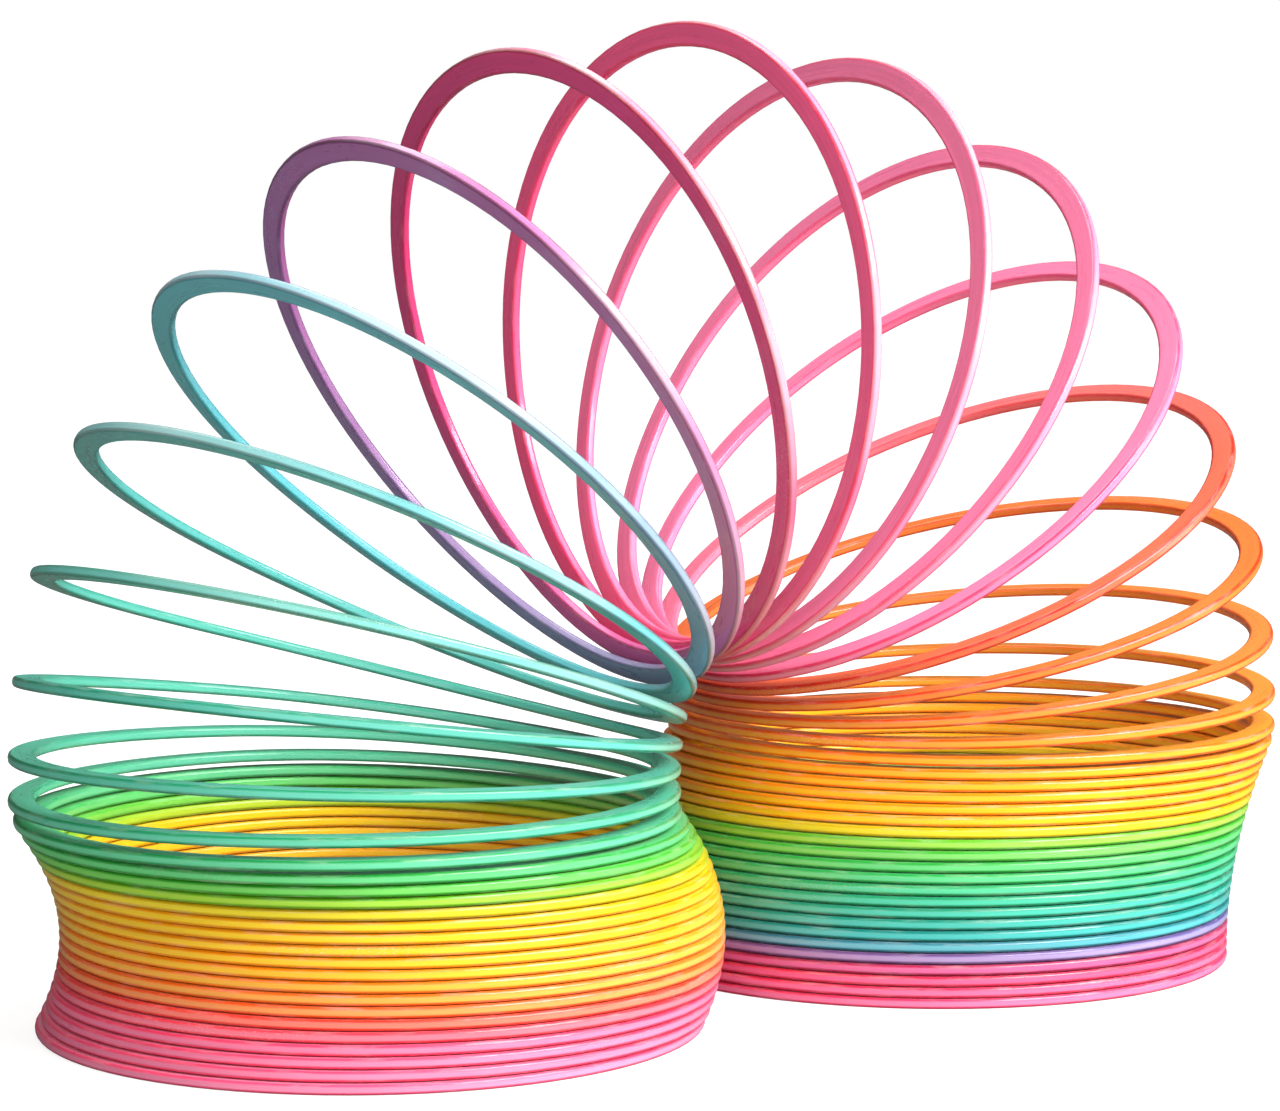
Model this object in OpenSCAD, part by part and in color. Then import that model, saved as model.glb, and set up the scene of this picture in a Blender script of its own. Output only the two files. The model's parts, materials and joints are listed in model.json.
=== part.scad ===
// Spring coil toy: one flat plastic strip wound into a coil, standing as an arch between two stacks.
// The strip is divided into its turns. Every turn starts and ends at the inner side of the arch,
// where the real strip twists, so the cut between two turns is where one swings on the other.

/* [Strip] */
// Outer diameter of a turn
coil_d = 150; // [120:5:180]
// Width of the strip, across the coil's radius
strip_w = 5.8; // [4:0.2:8]
// Thickness of the strip
strip_t = 2.4; // [2.2:0.1:3.2]

/* [Turns] */
// Turns lying flat in the left stack
left_turns = 19; // [10:1:19]
// Turns fanned out over the arch
arch_turns = 17; // [16:1:17]
// Turns lying flat in the right stack
right_turns = 21; // [10:1:21]

/* [Spacing] */
// Air between two turns of a stack
stack_gap = 0.2; // [0.1:0.1:0.6]
// Air between two turns of the arch, at the inner side where they come closest
arch_gap = 0.9; // [0.7:0.1:2]

/* [Stance] */
// How strongly the opening gathers towards the top of the arch
fan_power = 1.2; // [1:0.1:1.4]
// Distance the right stack stands behind the left one
depth_shift = 10; // [0:1:30]
// Distance the foot of the left stack is set in towards the right one
left_lean = 5; // [0:1:6]
// Distance the middle of the left stack swells towards the right one
left_swell = 9; // [0:1:9]
// Distance the foot of the right stack is set in towards the left one
right_lean = 14; // [0:1:14]
// Distance the middle of the right stack swells towards the left one
right_swell = 4; // [0:1:4]

/* [Detail] */
// Flat pieces in one turn of the strip
facets = 44; // [24:4:44]

/* [Hidden] */
turns = left_turns + arch_turns + right_turns;
stations = turns * facets;
pitch = strip_t + stack_gap;
outer_r = coil_d / 2;
mid_r = outer_r - strip_w / 2;
arch_end = left_turns + arch_turns;

// Part of a turn in which the strip climbs from one turn of a stack onto the next
climb_part = 0.25;
// Turns over which the spacing of a stack widens into the spacing of the arch, and its head start
loosen_turns = 2;
loosen_lead = 1.5;
// Stations of the free end, which lies at the back of the lowest turn of the left stack
free_end = ceil(climb_part * facets);

// Rainbow along the strip: place on the strip as a part of its length, then the colour there
RAINBOW = [
    [0.00, [0.97, 0.50, 0.64]],
    [0.07, [0.96, 0.42, 0.56]],
    [0.095, [0.95, 0.42, 0.42]],
    [0.115, [0.96, 0.55, 0.33]],
    [0.14, [0.98, 0.69, 0.26]],
    [0.17, [0.98, 0.74, 0.20]],
    [0.25, [0.97, 0.78, 0.14]],
    [0.272, [0.94, 0.84, 0.16]],
    [0.29, [0.64, 0.82, 0.24]],
    [0.31, [0.40, 0.80, 0.37]],
    [0.33, [0.38, 0.81, 0.50]],
    [0.36, [0.40, 0.74, 0.60]],
    [0.40, [0.37, 0.71, 0.67]],
    [0.43, [0.40, 0.69, 0.76]],
    [0.447, [0.58, 0.42, 0.64]],
    [0.465, [0.80, 0.28, 0.48]],
    [0.482, [0.94, 0.42, 0.60]],
    [0.50, [0.97, 0.56, 0.70]],
    [0.545, [0.97, 0.56, 0.70]],
    [0.57, [0.92, 0.42, 0.36]],
    [0.59, [0.93, 0.60, 0.32]],
    [0.64, [0.97, 0.69, 0.18]],
    [0.73, [0.96, 0.83, 0.17]],
    [0.75, [0.58, 0.82, 0.34]],
    [0.78, [0.34, 0.79, 0.44]],
    [0.84, [0.22, 0.70, 0.56]],
    [0.905, [0.24, 0.66, 0.64]],
    [0.922, [0.58, 0.60, 0.76]],
    [0.94, [0.80, 0.42, 0.60]],
    [0.96, [0.92, 0.36, 0.54]],
    [1.00, [0.96, 0.48, 0.64]]
];

function two_digits(n) = str(n < 10 ? "0" : "", n);
function names(stem, count) = [for (i = [1:count]) str(stem, two_digits(i))];

// Eases from 0 to 1 as x goes from 0 to 1
function ease(x) = let (c = min(max(x, 0), 1)) c * c * (3 - 2 * c);

// Sums of the first 0, 1, 2, ... entries of a list
function running(list, zero) =
    [for (i = 0, sum = zero; i <= len(list); sum = i < len(list) ? sum + list[i] : sum, i = i + 1) sum];

function total(list) = [for (entry = list) 1] * list;

// How fast the coil's axis turns over, s turns along the strip, before it is scaled to half a circle
function fan(s) =
    s <= left_turns || s >= arch_end ? 0 : pow(sin(180 * (s - left_turns) / arch_turns), fan_power);

// Height within a stack, in pitches: flat round most of a turn, with a climb at the inner back
function climb(s) = floor(s) - 1 + ease((s - floor(s)) / climb_part);

// 0 in the stacks and 1 in the arch
function loose(s) =
    ease((s - left_turns + loosen_lead) / loosen_turns) * ease((arch_end + loosen_lead - s) / loosen_turns);

// The two stacks are not perfectly upright: each leans and swells towards the other
function drift(s) =
    let (low = max(1 - s / left_turns, 0), far = max(1 - (turns - s) / right_turns, 0))
    left_lean * low + left_swell * 4 * low * (1 - low)
    - (s < arch_end ? 0 : right_lean * far + right_swell * 4 * far * (1 - far));

// Place of every station along the strip, in turns
place = [for (k = [0:stations]) k / facets];

// Tilt of the coil's axis at every station: 0 in the left stack, 180 degrees in the right one
fan_steps = [for (k = [1:stations]) (fan(place[k - 1]) + fan(place[k])) / 2];
fan_total = total(fan_steps);
tilt = [for (sum = running(fan_steps, 0)) 180 * sum / fan_total];
step_tilt = [for (k = [1:stations]) (tilt[k - 1] + tilt[k]) / 2];

// Advance of the coil's centre from station to station: the pitch, the wider spacing of the arch,
// and the swing of the coil about its inner edge
loose_steps = [for (k = [1:stations]) (loose(place[k - 1]) + loose(place[k])) / 2 / facets];
plain_steps = [for (k = [1:stations])
    pitch * (climb(place[k]) - climb(place[k - 1]))
    + (arch_gap - stack_gap) * loose_steps[k - 1]
    + outer_r * (tilt[k] - tilt[k - 1]) * PI / 180];

// One side of the arch is spaced a little wider, so that both stacks stand on one level: the rising
// side where the right stack would stand too low, and otherwise the falling side. The lowest left
// turn lies one pitch above the first station, because its climb is before the free end.
up = [for (angle = step_tilt) cos(angle)];
too_low = pitch - plain_steps * up;
wider_side = [for (k = [0:stations - 1]) loose_steps[k] * max(too_low > 0 ? up[k] : -up[k], 0)];
wider_gap = too_low / (wider_side * up);

// Centre of the coil at every station
moves = [for (k = [0:stations - 1])
    (plain_steps[k] + wider_gap * wider_side[k]) * [sin(step_tilt[k]), 0, cos(step_tilt[k])]];
path = running(moves, [0, 0, 0]);
centre = [for (k = [0:stations])
    path[k] + [drift(place[k]), depth_shift * ease((place[k] - left_turns) / arch_turns), 0]];

// The strip's four edges at a station, in order round its section
SECTION = [[-1, -1], [1, -1], [1, 1], [-1, 1]];
function edges(k) =
    let (
        along = [sin(tilt[k]), 0, cos(tilt[k])],
        inward = [cos(tilt[k]), 0, -sin(tilt[k])],
        out = cos(360 * place[k]) * inward + sin(360 * place[k]) * [0, 1, 0]
    )
    [for (c = SECTION) centre[k] + (mid_r + c[0] * strip_w / 2) * out + c[1] * strip_t / 2 * along];
strip = [for (k = [0:stations]) edges(k)];

// The origin is under the middle of the whole toy, on the surface it stands on
all_points = [for (k = [free_end:stations]) each strip[k]];
low = [for (axis = [0:2]) min([for (p = all_points) p[axis]])];
high = [for (axis = [0:2]) max([for (p = all_points) p[axis]])];
origin = [(low[0] + high[0]) / 2, (low[1] + high[1]) / 2, low[2]];

// Colour of the strip, a part f of the way along it
function rainbow(f, i = 0) =
    i + 2 == len(RAINBOW) || f < RAINBOW[i + 1][0]
        ? let (a = RAINBOW[i], b = RAINBOW[i + 1], w = (f - a[0]) / (b[0] - a[0])) a[1] * (1 - w) + b[1] * w
        : rainbow(f, i + 1);

// Two triangles for each side of the strip between stations j and j + 1 of a turn
function wall(j) =
    [for (c = [0:3]) let (a = 4 * j + c, b = 4 * j + (c + 1) % 4) each [[a, b, b + 4], [a, b + 4, a + 4]]];

// One turn of the strip; the lowest left turn lacks its first quarter, where the free end lies
module coil_turn(index) {
    first = index * facets + (index == 0 ? free_end : 0);
    last = (index + 1) * facets;
    pieces = last - first;
    end = 4 * pieces;
    color(rainbow((index + 0.5) / turns))
        translate(-origin)
            polyhedron(
                points = [for (k = [first:last]) each strip[k]],
                faces = concat(
                    [[0, 2, 1], [0, 3, 2]],
                    [for (j = [0:pieces - 1]) each wall(j)],
                    [[end, end + 1, end + 2], [end, end + 2, end + 3]]
                )
            );
}

for (index = [0:turns - 1])
    coil_turn(index);
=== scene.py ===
"""Looks of the spring coil toy: the flat plastic strip, drawn smooth and rounded over the CAD turns.

The strip's course is worked out here by the same rules as in part.scad, set on the CAD box, and
tested turn by turn against the CAD nodes. The outer half of each turn rides on that turn's body.
The inner half, from the front of one turn to the back of the next, is not attached to either body.
"""

import json
import math

import bpy
import numpy as np
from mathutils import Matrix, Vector


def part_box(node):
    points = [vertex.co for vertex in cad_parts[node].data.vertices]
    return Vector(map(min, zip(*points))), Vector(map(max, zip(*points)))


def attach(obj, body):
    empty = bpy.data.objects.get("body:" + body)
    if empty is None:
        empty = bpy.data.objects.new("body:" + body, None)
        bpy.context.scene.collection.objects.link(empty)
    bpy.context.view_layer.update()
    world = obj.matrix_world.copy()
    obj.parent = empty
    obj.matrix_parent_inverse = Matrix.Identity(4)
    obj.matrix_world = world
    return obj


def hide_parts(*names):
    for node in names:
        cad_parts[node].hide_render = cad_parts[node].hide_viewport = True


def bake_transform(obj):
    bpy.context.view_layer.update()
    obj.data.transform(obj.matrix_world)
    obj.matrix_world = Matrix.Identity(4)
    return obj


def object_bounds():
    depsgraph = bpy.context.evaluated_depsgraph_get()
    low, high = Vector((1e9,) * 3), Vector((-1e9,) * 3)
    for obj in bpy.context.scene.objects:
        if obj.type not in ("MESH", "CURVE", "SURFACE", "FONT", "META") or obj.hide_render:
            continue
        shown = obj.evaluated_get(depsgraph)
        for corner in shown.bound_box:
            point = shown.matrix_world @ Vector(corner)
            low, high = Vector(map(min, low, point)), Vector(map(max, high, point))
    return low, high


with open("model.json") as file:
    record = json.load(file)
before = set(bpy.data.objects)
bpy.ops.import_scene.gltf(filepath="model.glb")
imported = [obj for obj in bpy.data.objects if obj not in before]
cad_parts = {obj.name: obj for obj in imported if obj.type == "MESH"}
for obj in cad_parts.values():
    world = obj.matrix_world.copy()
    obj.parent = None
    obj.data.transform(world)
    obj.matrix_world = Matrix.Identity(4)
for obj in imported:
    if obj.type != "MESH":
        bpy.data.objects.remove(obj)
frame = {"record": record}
cad_low, cad_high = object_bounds()

# ---------------------------------------------------------------- the strip, in metres and turns
COIL_D = 0.150
STRIP_W = 0.0058
STRIP_T = 0.0024
STACK_GAP = 0.0002
ARCH_GAP = 0.0009
FAN_POWER = 1.2
DEPTH_SHIFT = 0.010
LEFT_LEAN, LEFT_SWELL = 0.005, 0.009
RIGHT_LEAN, RIGHT_SWELL = 0.014, 0.004
CLIMB_PART = 0.25
LOOSEN_TURNS, LOOSEN_LEAD = 2, 1.5
PITCH = STRIP_T + STACK_GAP
OUTER_R = COIL_D / 2
MID_R = OUTER_R - STRIP_W / 2
HALF_W, HALF_T = STRIP_W / 2, STRIP_T / 2

TURN_NAMES = [part["node"] for part in frame["record"]["subparts"]]
TURNS = len(TURN_NAMES)
LEFT_TURNS = sum(name.startswith("left_turn_") for name in TURN_NAMES)
ARCH_END = LEFT_TURNS + sum(name.startswith("arch_turn_") for name in TURN_NAMES)
ARCH_TURNS = ARCH_END - LEFT_TURNS
RIGHT_TURNS = TURNS - ARCH_END

# ---------------------------------------------------------------- how finely it is drawn
STATIONS = 96            # rings of points in one turn
CORNER_R = 0.00085       # rounding of the strip's long edges
CORNER_POINTS = 5        # points round one corner
RIM_CROWN = 0.00006      # how far the middle of the strip's narrow faces stands proud
FIT_WITHIN = 0.0003      # how closely each drawn turn has to lie on its CAD turn
# Where in a turn its outer half starts and ends
BACK, FRONT = 0.25, 0.75

# ---------------------------------------------------------------- view
CAMERA_AZIMUTH, CAMERA_ELEVATION = math.radians(-30.4), math.radians(5.0)
CAMERA_DISTANCE = 0.910
CAMERA_LENS, CAMERA_SENSOR = 109.8, 36
CAMERA_AIM = Vector((-0.0119, -0.0041, 0.1026))

# ---------------------------------------------------------------- light
WORLD_LIGHT = 0.27       # the studio's even light on the toy
MIRRORED = 0.25          # how much of that, and of the floor, shows as a sheen on the toy
FLOOR_HALF = 6.0         # from the middle of the floor to its sides
FLOOR_WHITE = 0.3        # how much light the floor throws back
FLOOR_LIFT = 0.80        # how much brighter than that the floor looks to the camera
FLOOR_ROUGHNESS = 0.8
LAMP_AIM = (0, 0, 0.1)   # where every lamp points
# The overhead light: where it shines from, its width in degrees, and its strength
OVERHEAD = ((0.35, -0.20, 0.90), 45, 2.3)
# The softboxes: where each stands, its width and height, and its power
SOFTBOXES = {
    "softbox_key": ((0.40, -0.98, 0.85), (0.9, 0.5), 31),
    "softbox_right": ((1.00, -0.60, 0.45), (0.4, 0.8), 5),
    "softbox_front": ((-0.75, -1.10, 0.45), (1.7, 0.9), 9),
    "softbox_back": ((0.00, 0.55, 1.35), (0.9, 0.6), 8),
}

# ---------------------------------------------------------------- plastic
# The dye as a power of its colour: on the faces, and on the rounded edges, where a higher power paints
# shade into the grooves and undersides
PLAIN_DYE, EDGE_SHADE_DYE = 1.12, 2.6
# How much of that painted edge shade the edges of the coil's inner side get, against the outer ones
INNER_EDGE_SHADE = 0.6
# Where along the strip its outer rim gets a painted highlight, over how long that fades, and how pale the
# painted highlight gets
HIGHLIGHT_FROM, HIGHLIGHT_TO, HIGHLIGHT_FADE = 0.38, 0.54, 0.04
RIM_HIGHLIGHT = 0.3
# The pale colour that wear, and the painted rim highlight, fade the plastic to
WEAR_AND_HIGHLIGHT_WHITE = (1.0, 0.93, 0.92, 1)
RELIEF_STRENGTH, RELIEF_DEPTH = 0.09, 0.0001
GLOSS = {"IOR": 1.5, "Specular IOR Level": 0.2, "Coat Weight": 0.5, "Coat Roughness": 0.12}
# The patterns in the plastic: how many cells each has in a metre along the strip, across it and
# through it, its detail and roughness, and which range of its values becomes which range of the result
CLOUDS = ((30, 200, 200), 3.0, 0.6, (0.3, 0.7), (0.44, 0.52))
STREAKS = ((14, 900, 900), 2.0, 0.5, (0.3, 0.7), (0.42, 0.54))
SPECKS = ((3000, 3000, 3000), 1.0, 0.5, (0.6, 0.68), (0.0, 1.0))
SPECK_PATCHES = ((9, 60, 60), 1.0, 0.5, (0.58, 0.72), (0.0, 0.2))
SCUFFS = ((120, 900, 900), 4.0, 0.6, (0.5, 0.75), (0.0, 0.2))
# the long uneven stretches of the painted rim highlight
HIGHLIGHT_STRETCHES = ((22, 60, 60), 2.0, 0.5, (0.35, 0.65), (0.15, 1.0))
SHEEN_PATCHES = ((60, 500, 500), 4.0, 0.6, (0.3, 0.7), (0.24, 0.38))
DRAWN_LINES = ((25, 2600, 2600), 2.0, 0.5, (0.0, 1.0), (0.0, 0.6))
GRAIN = ((1800, 1800, 1800), 2.0, 0.5, (0.0, 1.0), (0.0, 0.4))

# Rainbow along the strip: place as a part of its length, then the colour there as it shows
RAINBOW = [
    (0.000, (0.98, 0.60, 0.72)),
    (0.070, (0.98, 0.54, 0.67)),
    (0.095, (0.98, 0.50, 0.48)),
    (0.115, (0.98, 0.63, 0.38)),
    (0.170, (0.99, 0.78, 0.24)),
    (0.252, (0.96, 0.82, 0.18)),
    (0.269, (0.72, 0.84, 0.26)),
    (0.287, (0.51, 0.82, 0.36)),
    (0.304, (0.44, 0.81, 0.49)),
    (0.335, (0.42, 0.78, 0.64)),
    (0.400, (0.40, 0.75, 0.70)),
    (0.430, (0.42, 0.73, 0.77)),
    (0.446, (0.68, 0.39, 0.63)),
    (0.453, (0.79, 0.48, 0.67)),
    (0.461, (0.82, 0.27, 0.49)),
    (0.482, (0.95, 0.41, 0.58)),
    (0.500, (0.95, 0.53, 0.67)),
    (0.545, (0.95, 0.54, 0.68)),
    (0.553, (0.91, 0.44, 0.36)),
    (0.567, (0.90, 0.50, 0.24)),
    (0.590, (0.93, 0.58, 0.27)),
    (0.640, (0.98, 0.71, 0.20)),
    (0.715, (0.98, 0.77, 0.17)),
    (0.735, (0.91, 0.84, 0.22)),
    (0.750, (0.64, 0.84, 0.35)),
    (0.780, (0.44, 0.82, 0.49)),
    (0.840, (0.34, 0.77, 0.64)),
    (0.905, (0.33, 0.73, 0.73)),
    (0.922, (0.62, 0.63, 0.79)),
    (0.940, (0.82, 0.44, 0.62)),
    (0.960, (0.94, 0.42, 0.58)),
    (1.000, (0.97, 0.53, 0.68)),
]


def ease(x):
    """Eases from 0 to 1 as x goes from 0 to 1."""
    c = np.clip(x, 0, 1)
    return c * c * (3 - 2 * c)


def fan(s):
    """How fast the coil's axis turns over, s turns along the strip, before scaling to half a circle."""
    part = np.clip((s - LEFT_TURNS) / ARCH_TURNS, 0, 1)
    return np.where((part > 0) & (part < 1), np.abs(np.sin(math.pi * part)) ** FAN_POWER, 0)


def climb(s):
    """Height within a stack, in pitches: flat round most of a turn, with a climb at the inner back."""
    return np.floor(s) - 1 + ease((s - np.floor(s)) / CLIMB_PART)


def loose(s):
    """0 in the stacks and 1 in the arch."""
    return (ease((s - LEFT_TURNS + LOOSEN_LEAD) / LOOSEN_TURNS)
            * ease((ARCH_END + LOOSEN_LEAD - s) / LOOSEN_TURNS))


def drift(s):
    """The two stacks are not perfectly upright: each leans and swells towards the other."""
    low = np.maximum(1 - s / LEFT_TURNS, 0)
    far = np.where(s < ARCH_END, 0, np.maximum(1 - (TURNS - s) / RIGHT_TURNS, 0))
    return (LEFT_LEAN * low + LEFT_SWELL * 4 * low * (1 - low)
            - RIGHT_LEAN * far - RIGHT_SWELL * 4 * far * (1 - far))


def halfway(values):
    """Means of neighbouring values."""
    return (values[1:] + values[:-1]) / 2


def running(steps):
    """Sums of the first 0, 1, 2, ... steps."""
    return np.concatenate([np.zeros_like(steps[:1]), np.cumsum(steps, axis=0)])


class Strip:
    """The coil's centre, and the directions out of it and along its axis, at every ring."""

    def __init__(self):
        place = np.arange(TURNS * STATIONS + 1) / STATIONS
        tilt = running(halfway(fan(place)))
        tilt *= math.pi / tilt[-1]
        step_tilt = halfway(tilt)
        loose_steps = halfway(loose(place)) / STATIONS
        plain = (PITCH * np.diff(climb(place)) + (ARCH_GAP - STACK_GAP) * loose_steps
                 + OUTER_R * np.diff(tilt))
        # the rising side of the arch is spaced a little wider, so that both stacks stand on one level
        up = np.cos(step_tilt)
        rising = loose_steps * np.maximum(up, 0)
        rise_gap = (PITCH - plain @ up) / (rising @ up)
        ahead = np.stack([np.sin(step_tilt), np.zeros_like(step_tilt), up], 1)
        self.centre = running((plain + rise_gap * rising)[:, None] * ahead)
        self.centre[:, 0] += drift(place)
        self.centre[:, 1] += DEPTH_SHIFT * ease((place - LEFT_TURNS) / ARCH_TURNS)
        self.place = place
        level = np.zeros_like(tilt)
        self.axis = np.stack([np.sin(tilt), level, np.cos(tilt)], 1)
        inward = np.stack([np.cos(tilt), level, -np.sin(tilt)], 1)
        turn = 2 * math.pi * place
        self.out = np.cos(turn)[:, None] * inward + np.sin(turn)[:, None] * np.array([0.0, 1.0, 0.0])
        self.length = running(np.linalg.norm(np.diff(self.centre + MID_R * self.out, axis=0), axis=1))
        self.centre += self.shift_to_frame()

    def corners(self, first, last):
        """The four edges of the plain strip from ring first to ring last."""
        rings = slice(first, last + 1)
        sides = [(w, t) for w in (-HALF_W, HALF_W) for t in (-HALF_T, HALF_T)]
        return np.concatenate([self.centre[rings] + (MID_R + w) * self.out[rings] + t * self.axis[rings]
                               for w, t in sides])

    def shift_to_frame(self):
        """The move that sets the strip in the middle of the CAD box and on its floor."""
        points = self.corners(ring(CLIMB_PART), ring(TURNS))
        low, high = points.min(0), points.max(0)
        return np.array([(cad_low.x + cad_high.x - low[0] - high[0]) / 2,
                         (cad_low.y + cad_high.y - low[1] - high[1]) / 2,
                         cad_low.z - low[2]])

    def test_against_cad(self):
        """Stops the script if a turn of the strip isn't where its CAD node is."""
        for index, name in enumerate(TURN_NAMES):
            points = self.corners(ring(max(index, CLIMB_PART)), ring(index + 1))
            low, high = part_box(name)
            off = max(np.abs(points.min(0) - low).max(), np.abs(points.max(0) - high).max())
            if off > FIT_WITHIN:
                raise ValueError(f"the strip is {off * 1000:.2f} mm off the CAD turn {name}")


def ring(turns):
    """The number of the ring that many turns along the strip."""
    return round(turns * STATIONS)


def section():
    """The strip's outline: offsets out from the middle and along the axis, and the normals there."""
    points, normals = [], []
    for quarter in range(4):
        middle = math.pi / 4 + quarter * math.pi / 2
        sign_w, sign_t = math.copysign(1, math.cos(middle)), math.copysign(1, math.sin(middle))
        for k in range(CORNER_POINTS):
            angle = quarter * math.pi / 2 + k / (CORNER_POINTS - 1) * math.pi / 2
            normal = (math.cos(angle), math.sin(angle))
            points.append((sign_w * (HALF_W - CORNER_R) + CORNER_R * normal[0],
                           sign_t * (HALF_T - CORNER_R) + CORNER_R * normal[1]))
            normals.append(normal)
        # the middle of the face that follows this corner
        angle = (quarter + 1) * math.pi / 2
        normal = (math.cos(angle), math.sin(angle))
        points.append(((HALF_W + RIM_CROWN) * normal[0], HALF_T * normal[1]))
        normals.append(normal)
    return np.array(points), np.array(normals)


def section_edge_shade_and_wear(outline):
    """How much painted shade, and how much wear, each point round the outline gets: most on the rounded
    edges.
    """
    outline_shade_and_wear = []
    for k, (radial, _) in enumerate(outline):
        point = k % (CORNER_POINTS + 1)
        on_face = point == CORNER_POINTS
        edge = 0.0 if on_face else math.sin(math.pi * point / (CORNER_POINTS - 1))
        outline_shade_and_wear.append(edge if radial > 0 else INNER_EDGE_SHADE * edge)
    return np.array(outline_shade_and_wear)


SECTION, SECTION_NORMALS = section()
# painted shade and wear on the strip's edges, round its outline
SECTION_EDGE_SHADE_AND_WEAR = section_edge_shade_and_wear(SECTION)
SECTION_RIM = np.where(SECTION[:, 0] > HALF_W - CORNER_R / 2, 1.0, 0.0)
strip = Strip()
strip.test_against_cad()


def strip_faces(count):
    """The walls between that many rings of points, and a face over each end."""
    around = len(SECTION)
    corner = np.arange(around)
    beside = (corner + 1) % around
    start = np.arange(count - 1)[:, None] * around
    walls = np.stack([start + corner, start + beside, start + around + beside, start + around + corner], 2)
    end = (count - 1) * around
    return walls.reshape(-1, 4)[:, ::-1].tolist() + [corner.tolist(), (end + corner[::-1]).tolist()]


def strip_mesh(name, first, last):
    """A closed length of the strip from ring first to ring last, with its true normals."""
    rings = slice(first, last + 1)
    count, around = last + 1 - first, len(SECTION)
    centre, out, axis = (a[rings][:, None, :] for a in (strip.centre, strip.out, strip.axis))
    radial, axial = SECTION[None, :, 0, None], SECTION[None, :, 1, None]
    points = (centre + (MID_R + radial) * out + axial * axis).reshape(-1, 3)
    radial, axial = SECTION_NORMALS[None, :, 0, None], SECTION_NORMALS[None, :, 1, None]
    normals = (radial * out + axial * axis).reshape(-1, 3)

    mesh = bpy.data.meshes.new(name)
    mesh.from_pydata(points.tolist(), [], strip_faces(count))
    mesh.shade_smooth()

    # every corner of a face has the strip's own normal, apart from the flat faces over the two ends
    loops = np.zeros(len(mesh.loops), np.int32)
    mesh.loops.foreach_get("vertex_index", loops)
    loop_normals = normals[loops]
    tangents = np.cross(strip.axis, strip.out)
    loop_normals[-2 * around:-around] = -tangents[first]
    loop_normals[-around:] = tangents[last]
    mesh.normals_split_custom_set(loop_normals.tolist())

    along = np.repeat(strip.length[rings], around)
    across, through = np.tile(SECTION[:, 0], count), np.tile(SECTION[:, 1], count)
    space = np.column_stack([along, across, through])
    part = np.repeat(strip.place[rings] / TURNS, around)
    write_attribute(mesh, "strip_part", "FLOAT", "value", part)
    # the mask of painted shade and of wear on the edges
    write_attribute(mesh, "strip_edge_shade_and_wear", "FLOAT", "value", np.tile(SECTION_EDGE_SHADE_AND_WEAR, count))
    write_attribute(mesh, "strip_rim", "FLOAT", "value", np.tile(SECTION_RIM, count))
    write_attribute(mesh, "strip_space", "FLOAT_VECTOR", "vector", space)
    return mesh


def write_attribute(mesh, name, kind, field, values):
    """One value, or one vector, for every point of the mesh."""
    attribute = mesh.attributes.new(name, kind, "POINT")
    attribute.data.foreach_set(field, values.astype(np.float32).ravel())


# ---------------------------------------------------------------- material of the strip
def linear(colour):
    """The scene's linear light for a colour as it shows on a screen."""
    return tuple(c / 12.92 if c <= 0.04045 else ((c + 0.055) / 1.055) ** 2.4 for c in colour)


class Nodes:
    """Short calls for building a node tree."""

    def __init__(self, tree):
        self.tree = tree
        tree.nodes.clear()

    def add(self, kind, inputs=None, **settings):
        """A node with its inputs linked or set."""
        node = self.tree.nodes.new(kind)
        for key, value in settings.items():
            setattr(node, key, value)
        for key, value in (inputs or {}).items():
            if isinstance(value, bpy.types.NodeSocket):
                self.tree.links.new(value, node.inputs[key])
            else:
                node.inputs[key].default_value = value
        return node

    def attribute(self, name, output="Fac"):
        """A value that the mesh holds at each point."""
        return self.add("ShaderNodeAttribute", attribute_name=name).outputs[output]

    def pattern(self, vector, cells, detail, roughness, values, result):
        """Noise, finer or coarser along each axis, with a range of its values spread over the result."""
        fine = self.add("ShaderNodeVectorMath", {0: vector, 1: cells}, operation="MULTIPLY")
        noise = self.add("ShaderNodeTexNoise", {"Vector": fine.outputs[0], "Scale": 1.0, "Detail": detail,
                                                "Roughness": roughness})
        return self.remap(noise.outputs["Fac"], *values, *result)

    def remap(self, value, low, high, to_low, to_high):
        """The value moved from one range to another, and held within it."""
        return self.add("ShaderNodeMapRange", {"Value": value, "From Min": low, "From Max": high,
                                               "To Min": to_low, "To Max": to_high}).outputs["Result"]

    def grey(self, level):
        """A level as a colour."""
        return self.add("ShaderNodeCombineColor", {0: level, 1: level, 2: level}).outputs[0]

    def maths(self, operation, a, b):
        """One sum, product or maximum of two values."""
        return self.add("ShaderNodeMath", {0: a, 1: b}, operation=operation).outputs[0]

    def mix(self, factor, a, b, blend="MIX"):
        """Two colours in one."""
        node = self.add("ShaderNodeMix", data_type="RGBA", blend_type=blend)
        for socket, value in zip(("Factor_Float", "A_Color", "B_Color"), (factor, a, b)):
            target = next(i for i in node.inputs if i.identifier == socket)
            if isinstance(value, bpy.types.NodeSocket):
                self.tree.links.new(value, target)
            else:
                target.default_value = value
        return next(o for o in node.outputs if o.identifier == "Result_Color")


def rainbow_dye_and_edge_shade(n):
    """The rainbow along the strip, with painted shade on the long edges, where the dye is darkened."""
    ramp = n.add("ShaderNodeValToRGB", {"Fac": n.attribute("strip_part")})
    stops = ramp.color_ramp.elements
    while len(stops) < len(RAINBOW):
        stops.new(0.5)
    for stop, (part, colour) in zip(stops, RAINBOW):
        stop.position = part
        stop.color = (*linear(colour), 1)
    # painted shade: the dye is darkened on the rounded edges
    plain, edge_shaded = (n.add("ShaderNodeGamma", {"Color": ramp.outputs["Color"], "Gamma": power}).outputs[0]
                   for power in (PLAIN_DYE, EDGE_SHADE_DYE))
    return n.mix(n.attribute("strip_edge_shade_and_wear"), plain, edge_shaded)


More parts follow.
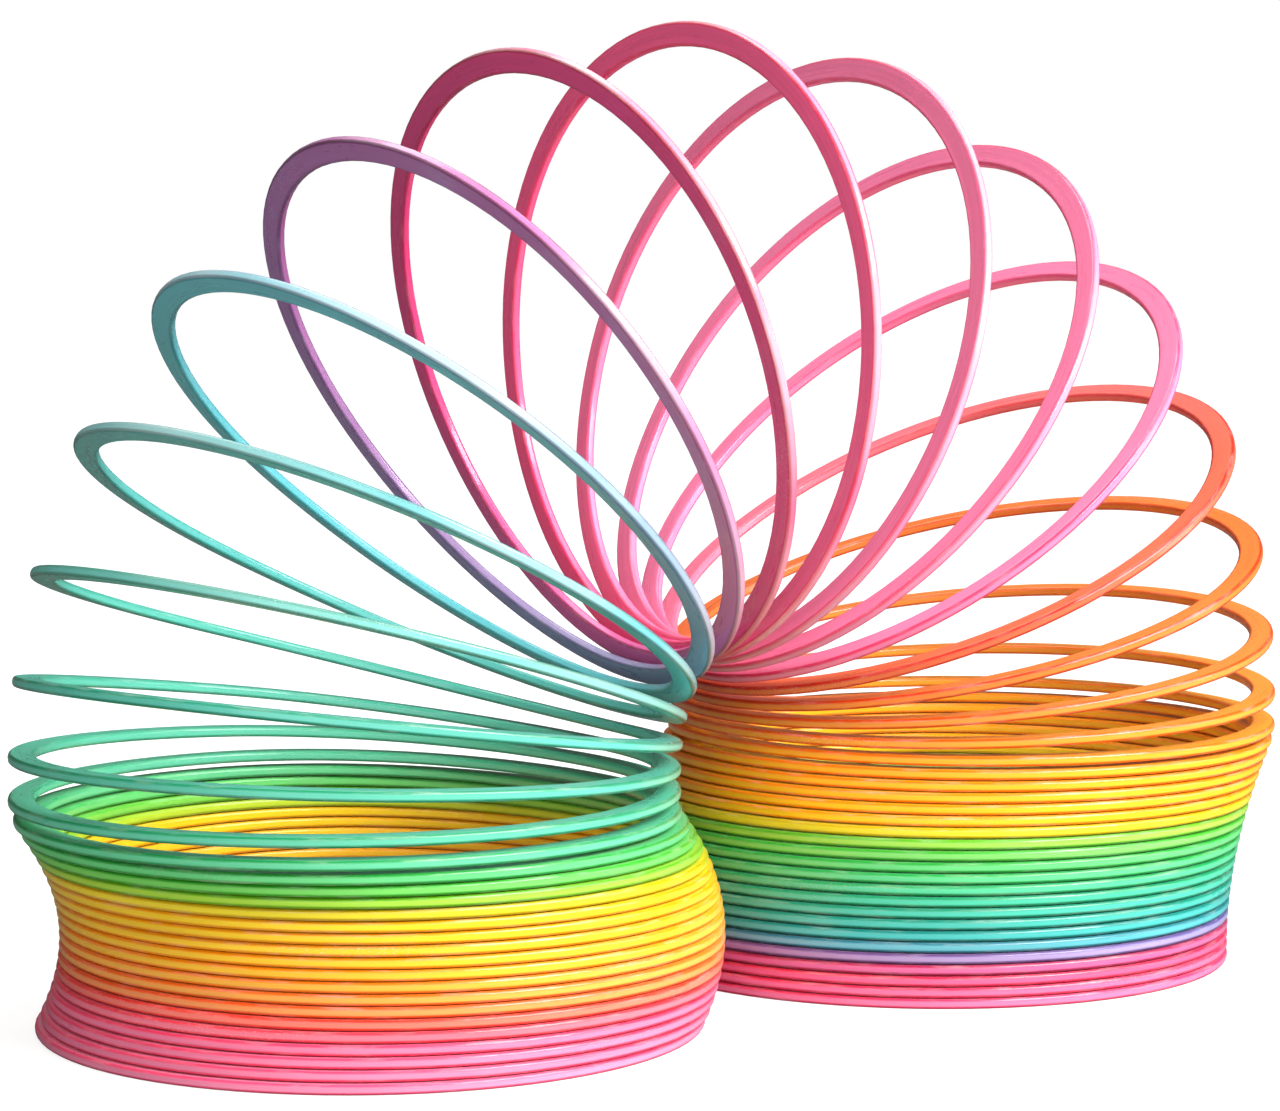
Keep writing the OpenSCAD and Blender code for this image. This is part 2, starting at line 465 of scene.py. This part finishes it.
def uneven_tone(n, space):
    """Soft clouds and streaks, as the dye is a little uneven along the strip."""
    return n.grey(n.maths("ADD", n.pattern(space, *CLOUDS), n.pattern(space, *STREAKS)))


def wear(n, space):
    """Fine pale specks in patches, and scuffs on the long edges."""
    specks = n.maths("MULTIPLY", n.pattern(space, *SPECKS), n.pattern(space, *SPECK_PATCHES))
    scuffs = n.maths("MULTIPLY", n.attribute("strip_edge_shade_and_wear"), n.pattern(space, *SCUFFS))
    return n.maths("ADD", scuffs, specks)


def painted_rim_highlight(n, space):
    """Painted highlight: the outer rim of some of the loops made pale in long uneven stretches."""
    part = n.attribute("strip_part")
    # painted highlight on the outer rim, only between these places along the strip
    highlighted_loops = n.maths("MULTIPLY", n.remap(part, HIGHLIGHT_FROM, HIGHLIGHT_FROM + HIGHLIGHT_FADE, 0.0, 1.0),
                      n.remap(part, HIGHLIGHT_TO - HIGHLIGHT_FADE, HIGHLIGHT_TO, 1.0, 0.0))
    uneven_highlight = n.maths("MULTIPLY", n.pattern(space, *HIGHLIGHT_STRETCHES), RIM_HIGHLIGHT)
    return n.maths("MULTIPLY", n.maths("MULTIPLY", n.attribute("strip_rim"), highlighted_loops), uneven_highlight)


def relief(n, space):
    """Drawing lines that run along the strip, over a finer moulded grain."""
    height = n.maths("ADD", n.pattern(space, *DRAWN_LINES), n.pattern(space, *GRAIN))
    return n.add("ShaderNodeBump", {"Strength": RELIEF_STRENGTH, "Distance": RELIEF_DEPTH,
                                    "Height": height}).outputs[0]


def rainbow_plastic():
    """Semi-gloss plastic in one continuous rainbow."""
    material = bpy.data.materials.new("rainbow_plastic")
    material.use_nodes = True
    n = Nodes(material.node_tree)
    space = n.attribute("strip_space", "Vector")
    toned = n.mix(1.0, rainbow_dye_and_edge_shade(n), uneven_tone(n, space), "MULTIPLY")
    # real wear, and the painted highlight on the rim, both fade the colour towards pale
    wear_and_highlight = n.maths("MAXIMUM", wear(n, space), painted_rim_highlight(n, space))
    shader = n.add("ShaderNodeBsdfPrincipled", {
        "Base Color": n.mix(wear_and_highlight, toned, WEAR_AND_HIGHLIGHT_WHITE), "Roughness": n.pattern(space, *SHEEN_PATCHES),
        "Normal": relief(n, space), **GLOSS})
    n.add("ShaderNodeOutputMaterial", {"Surface": shader.outputs[0]})
    return material


# ---------------------------------------------------------------- pieces
plastic = rainbow_plastic()


def add_piece(name, first, last):
    """A length of the strip as an object, in the rainbow plastic."""
    mesh = strip_mesh(name, ring(first), ring(last))
    mesh.materials.append(plastic)
    piece = bpy.data.objects.new(name, mesh)
    bpy.context.scene.collection.objects.link(piece)
    return piece


def add_outer_half(index):
    """The outer half of a turn rides on its body. That of the last turn runs on to the strip's end."""
    name = TURN_NAMES[index]
    last = index + 1 if index == TURNS - 1 else index + FRONT
    outer_half = add_piece(f"{name}_outer", index + BACK, last)
    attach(outer_half, name)
    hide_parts(name)


def add_inner_half(index):
    """The strip from the front of the turn before to the back of this one, not attached to either body."""
    name = TURN_NAMES[index]
    inner_half = add_piece(f"{name}_inner", index - 1 + FRONT, index + BACK)
    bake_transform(inner_half)


add_outer_half(0)
for index in range(1, TURNS):
    add_outer_half(index)
    add_inner_half(index)


# ---------------------------------------------------------------- stage, light and camera
def add_floor():
    """A plain white floor, brighter to the camera than the light it throws back on the toy."""
    corners = [(x * FLOOR_HALF, y * FLOOR_HALF, 0) for x, y in ((-1, -1), (1, -1), (1, 1), (-1, 1))]
    mesh = bpy.data.meshes.new("floor")
    mesh.from_pydata(corners, [], [(0, 1, 2, 3)])
    material = bpy.data.materials.new("floor_white")
    material.use_nodes = True
    n = Nodes(material.node_tree)
    rays = n.add("ShaderNodeLightPath").outputs
    white = n.remap(rays["Is Glossy Ray"], 0.0, 1.0, FLOOR_WHITE, FLOOR_WHITE * MIRRORED)
    lift = n.maths("MULTIPLY", rays["Is Camera Ray"], FLOOR_LIFT)
    shader = n.add("ShaderNodeBsdfPrincipled", {
        "Base Color": n.grey(white), "Roughness": FLOOR_ROUGHNESS, "Specular IOR Level": 0.0,
        "Emission Color": (1, 1, 1, 1), "Emission Strength": lift})
    n.add("ShaderNodeOutputMaterial", {"Surface": shader.outputs[0]})
    mesh.materials.append(material)
    floor = bpy.data.objects.new("floor", mesh)
    floor.location.z = cad_low.z
    bpy.context.scene.collection.objects.link(floor)


def add_lamp(name, light, place):
    """Stands a light at its place, pointing at the toy."""
    lamp = bpy.data.objects.new(name, light)
    lamp.location = place
    lamp.rotation_euler = (Vector(LAMP_AIM) - Vector(place)).to_track_quat("-Z", "Y").to_euler()
    bpy.context.scene.collection.objects.link(lamp)


def add_softbox(name, place, size, power):
    """A rectangle of soft light."""
    light = bpy.data.lights.new(name, "AREA")
    light.shape = "RECTANGLE"
    light.size, light.size_y = size
    light.energy = power
    add_lamp(name, light, place)


def add_overhead(place, angle, strength):
    """A wide soft light that reaches the whole floor evenly."""
    light = bpy.data.lights.new("overhead", "SUN")
    light.angle = math.radians(angle)
    light.energy = strength
    add_lamp("overhead", light, place)


def add_world():
    """White to the camera, and a dimmer even light to the toy."""
    world = bpy.data.worlds.new("studio")
    world.use_nodes = True
    n = Nodes(world.node_tree)
    rays = n.add("ShaderNodeLightPath").outputs
    lit = n.remap(rays["Is Glossy Ray"], 0.0, 1.0, WORLD_LIGHT, WORLD_LIGHT * MIRRORED)
    strength = n.maths("MAXIMUM", rays["Is Camera Ray"], lit)
    background = n.add("ShaderNodeBackground", {"Color": (1, 1, 1, 1), "Strength": strength})
    n.add("ShaderNodeOutputWorld", {"Surface": background.outputs[0]})
    bpy.context.scene.world = world


def add_camera():
    """The photograph's viewing angle and framing."""
    data = bpy.data.cameras.new("camera")
    data.lens = CAMERA_LENS
    data.sensor_width = CAMERA_SENSOR
    camera = bpy.data.objects.new("camera", data)
    back = Vector((math.sin(CAMERA_AZIMUTH) * math.cos(CAMERA_ELEVATION),
                   -math.cos(CAMERA_AZIMUTH) * math.cos(CAMERA_ELEVATION),
                   math.sin(CAMERA_ELEVATION)))
    camera.location = CAMERA_AIM + back * CAMERA_DISTANCE
    camera.rotation_euler = (-back).to_track_quat("-Z", "Y").to_euler()
    bpy.context.scene.collection.objects.link(camera)
    bpy.context.scene.camera = camera


add_floor()
add_world()
add_overhead(*OVERHEAD)
for box_name, settings in SOFTBOXES.items():
    add_softbox(box_name, *settings)
add_camera()
bpy.context.scene.view_settings.view_transform = "Standard"
